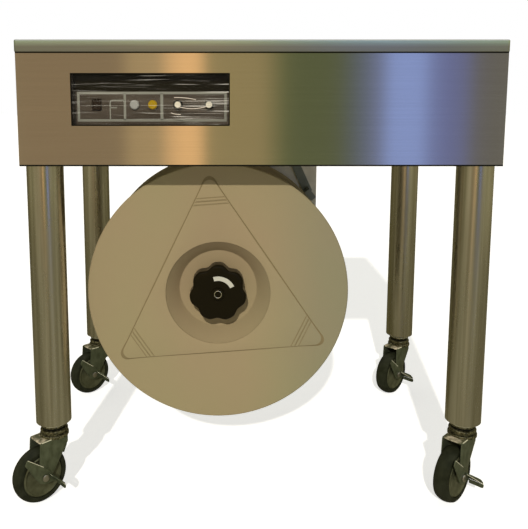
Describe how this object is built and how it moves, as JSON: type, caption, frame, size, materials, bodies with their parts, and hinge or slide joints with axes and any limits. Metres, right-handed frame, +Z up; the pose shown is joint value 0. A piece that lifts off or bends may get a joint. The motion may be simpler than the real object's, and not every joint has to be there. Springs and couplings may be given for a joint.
{
  "type": "strapping machine",
  "caption": "Semi-automatic strapping machine: steel table cabinet on braked castors, control recess with clear cover, and a strap reel slung below.",
  "frame": {"origin": "on the floor under the middle of the cabinet", "axes": "+X to the operator's right, -Y to the front, +Z up"},
  "size_m": [0.9318, 0.6101, 0.9],
  "materials": {
    "stainless": "brushed stainless sheet",
    "leg_steel": "brushed stainless tube",
    "galvanised": "grey coated sheet",
    "castor_steel": "olive grey zinc plate",
    "bright_steel": "bright turned steel",
    "tyre": "black tread rubber",
    "hub_plastic": "olive grey moulding",
    "reel_plastic": "tan moulded plastic",
    "knob_plastic": "black moulded plastic",
    "panel_black": "charcoal moulding",
    "clear": "clear sheet",
    "button_grey": "pale grey cap",
    "button_yellow": "yellow lens",
    "knob_chrome": "bright plated knob",
    "board": "green circuit board",
    "dark_steel": "dark painted steel",
    "cast_grey": "machined casting",
    "motor_paint": "blue grey paint",
    "brass_tool": "heater metal",
    "roller_rubber": "grooved rubber",
    "core_steel": "laminated core"
  },
  "bodies": {
    "cabinet": {"table_front": "stainless", "front_panel": "stainless", "rear_panel": "stainless", "side_panel_left": "stainless", "side_panel_right": "stainless", "bottom_pan": "galvanised", "control_plate": "panel_black", "control_board": "board", "bearing_housing": "cast_grey", "support_plate": "galvanised", "head_block": "cast_grey", "gear_reducer": "cast_grey", "drive_motor": "motor_paint", "feed_bracket": "galvanised", "feed_motor": "motor_paint", "transformer": "core_steel", "power_inlet": "knob_plastic", "leg_front_left": "leg_steel", "leg_front_right": "leg_steel", "leg_rear_left": "leg_steel", "leg_rear_right": "leg_steel", "caster_stem_front_left": "bright_steel", "caster_stem_front_right": "bright_steel", "caster_stem_rear_left": "bright_steel", "caster_stem_rear_right": "bright_steel"},
    "rear_table": {"table_rear": "stainless"},
    "slide_table": {"slide_plate": "bright_steel"},
    "cover": {"panel_cover": "clear"},
    "rocker": {"rocker_switch": "knob_plastic"},
    "reset": {"reset_button": "button_grey"},
    "lamp": {"lamp_button": "button_yellow"},
    "tension": {"tension_knob": "knob_chrome"},
    "length": {"length_knob": "knob_chrome"},
    "reel": {"reel_shaft": "bright_steel", "flange_rear": "reel_plastic"},
    "front_flange": {"flange_front": "reel_plastic"},
    "knob": {"clamp_knob": "knob_plastic"},
    "brake": {"brake_arm": "dark_steel"},
    "cams": {"cam_shaft": "bright_steel"},
    "left_grip": {"left_gripper": "bright_steel"},
    "press": {"press_bar": "bright_steel"},
    "right_grip": {"right_gripper": "bright_steel"},
    "heater": {"heater_blade": "brass_tool"},
    "feed": {"feed_roller": "roller_rubber"},
    "fork_front_left": {"caster_fork_front_left": "castor_steel"},
    "wheel_front_left": {"tyre_front_left": "tyre", "wheel_hub_front_left": "hub_plastic"},
    "lever_front_left": {"brake_lever_front_left": "castor_steel"},
    "fork_front_right": {"caster_fork_front_right": "castor_steel"},
    "wheel_front_right": {"tyre_front_right": "tyre", "wheel_hub_front_right": "hub_plastic"},
    "lever_front_right": {"brake_lever_front_right": "castor_steel"},
    "fork_rear_left": {"caster_fork_rear_left": "castor_steel"},
    "wheel_rear_left": {"tyre_rear_left": "tyre", "wheel_hub_rear_left": "hub_plastic"},
    "lever_rear_left": {"brake_lever_rear_left": "castor_steel"},
    "fork_rear_right": {"caster_fork_rear_right": "castor_steel"},
    "wheel_rear_right": {"tyre_rear_right": "tyre", "wheel_hub_rear_right": "hub_plastic"},
    "lever_rear_right": {"brake_lever_rear_right": "castor_steel"}
  },
  "joints": [
    {"name": "table_lift", "type": "hinge", "parent": "cabinet", "child": "rear_table", "pos_m": [0, 0.2878, 0.877], "axis": [-1, 0, 0], "range_deg": [0, 90]},
    {"name": "slide_travel", "type": "slide", "parent": "cabinet", "child": "slide_table", "axis": [0, 1, 0], "range_m": [0, 0.024]},
    {"name": "cover_lift", "type": "hinge", "parent": "cabinet", "child": "cover", "pos_m": [-0.2035, -0.2793, 0.8365], "axis": [-1, 0, 0], "range_deg": [0, 90]},
    {"name": "rocker_turn", "type": "hinge", "parent": "cabinet", "child": "rocker", "pos_m": [-0.3052, -0.2555, 0.7825], "axis": [1, 0, 0], "range_deg": [-5, 5]},
    {"name": "reset_press", "type": "slide", "parent": "cabinet", "child": "reset", "axis": [0, 1, 0], "range_m": [0, 0.003], "stiffness_N_per_m": 300, "springref_m": -0.001},
    {"name": "lamp_press", "type": "slide", "parent": "cabinet", "child": "lamp", "axis": [0, 1, 0], "range_m": [0, 0.003], "stiffness_N_per_m": 300, "springref_m": -0.001},
    {"name": "tension_turn", "type": "hinge", "parent": "cabinet", "child": "tension", "pos_m": [-0.154, -0.2625, 0.7825], "axis": [0, -1, 0], "range_deg": [-135, 135]},
    {"name": "length_turn", "type": "hinge", "parent": "cabinet", "child": "length", "pos_m": [-0.0964, -0.2625, 0.7825], "axis": [0, -1, 0], "range_deg": [-135, 135]},
    {"name": "reel_spin", "type": "hinge", "parent": "cabinet", "child": "reel", "pos_m": [-0.081, -0.2, 0.406], "axis": [0, -1, 0], "continuous": true},
    {"name": "flange_pull", "type": "slide", "parent": "reel", "child": "front_flange", "axis": [0, -1, 0], "range_m": [0, 0.12]},
    {"name": "knob_turn", "type": "hinge", "parent": "front_flange", "child": "knob", "pos_m": [-0.081, -0.21, 0.406], "axis": [0, -1, 0], "continuous": true},
    {"name": "brake_release", "type": "hinge", "parent": "cabinet", "child": "brake", "pos_m": [0.092, 0.0245, 0.652], "axis": [0, -1, 0], "range_deg": [0, 12]},
    {"name": "cam_turn", "type": "hinge", "parent": "cabinet", "child": "cams", "pos_m": [0, -0.112, 0.7635], "axis": [1, 0, 0], "range_deg": [0, 90]},
    {"name": "left_grip_lift", "type": "slide", "parent": "cabinet", "child": "left_grip", "axis": [0, 0, 1], "range_m": [0, 0.0061]},
    {"name": "press_lift", "type": "slide", "parent": "cabinet", "child": "press", "axis": [0, 0, 1], "range_m": [0, 0.0061]},
    {"name": "right_grip_lift", "type": "slide", "parent": "cabinet", "child": "right_grip", "axis": [0, 0, 1], "range_m": [0, 0.0061]},
    {"name": "heater_feed", "type": "slide", "parent": "cabinet", "child": "heater", "axis": [0, -1, 0], "range_m": [0, 0.033]},
    {"name": "feed_spin", "type": "hinge", "parent": "cabinet", "child": "feed", "pos_m": [0.16, -0.112, 0.7875], "axis": [0, -1, 0], "continuous": true},
    {"name": "swivel_front_left", "type": "hinge", "parent": "cabinet", "child": "fork_front_left", "pos_m": [-0.4102, -0.2452, 0.12], "axis": [0, 0, 1], "continuous": true},
    {"name": "roll_front_left", "type": "hinge", "parent": "fork_front_left", "child": "wheel_front_left", "pos_m": [-0.43566, -0.27066, 0.055], "axis": [0.7071, -0.7071, 0], "continuous": true},
    {"name": "brake_front_left", "type": "hinge", "parent": "fork_front_left", "child": "lever_front_left", "pos_m": [-0.43566, -0.27066, 0.055], "axis": [0.7071, -0.7071, 0], "range_deg": [-10, 8]},
    {"name": "swivel_front_right", "type": "hinge", "parent": "cabinet", "child": "fork_front_right", "pos_m": [0.4102, -0.2452, 0.12], "axis": [0, 0, 1], "continuous": true},
    {"name": "roll_front_right", "type": "hinge", "parent": "fork_front_right", "child": "wheel_front_right", "pos_m": [0.38474, -0.27066, 0.055], "axis": [0.7071, -0.7071, 0], "continuous": true},
    {"name": "brake_front_right", "type": "hinge", "parent": "fork_front_right", "child": "lever_front_right", "pos_m": [0.38474, -0.27066, 0.055], "axis": [0.7071, -0.7071, 0], "range_deg": [-10, 8]},
    {"name": "swivel_rear_left", "type": "hinge", "parent": "cabinet", "child": "fork_rear_left", "pos_m": [-0.4102, 0.2452, 0.12], "axis": [0, 0, 1], "continuous": true},
    {"name": "roll_rear_left", "type": "hinge", "parent": "fork_rear_left", "child": "wheel_rear_left", "pos_m": [-0.43566, 0.21974, 0.055], "axis": [0.7071, -0.7071, 0], "continuous": true},
    {"name": "brake_rear_left", "type": "hinge", "parent": "fork_rear_left", "child": "lever_rear_left", "pos_m": [-0.43566, 0.21974, 0.055], "axis": [0.7071, -0.7071, 0], "range_deg": [-10, 8]},
    {"name": "swivel_rear_right", "type": "hinge", "parent": "cabinet", "child": "fork_rear_right", "pos_m": [0.4102, 0.2452, 0.12], "axis": [0, 0, 1], "continuous": true},
    {"name": "roll_rear_right", "type": "hinge", "parent": "fork_rear_right", "child": "wheel_rear_right", "pos_m": [0.38474, 0.21974, 0.055], "axis": [0.7071, -0.7071, 0], "continuous": true},
    {"name": "brake_rear_right", "type": "hinge", "parent": "fork_rear_right", "child": "lever_rear_right", "pos_m": [0.38474, 0.21974, 0.055], "axis": [0.7071, -0.7071, 0], "range_deg": [-10, 8]}
  ],
  "couplings": [
    {"joint": "left_grip_lift", "follows": "cam_turn", "m_per_rad": 0.0038197},
    {"joint": "press_lift", "follows": "cam_turn", "m_per_rad": 0.0038197},
    {"joint": "right_grip_lift", "follows": "cam_turn", "m_per_rad": 0.0038197}
  ]
}
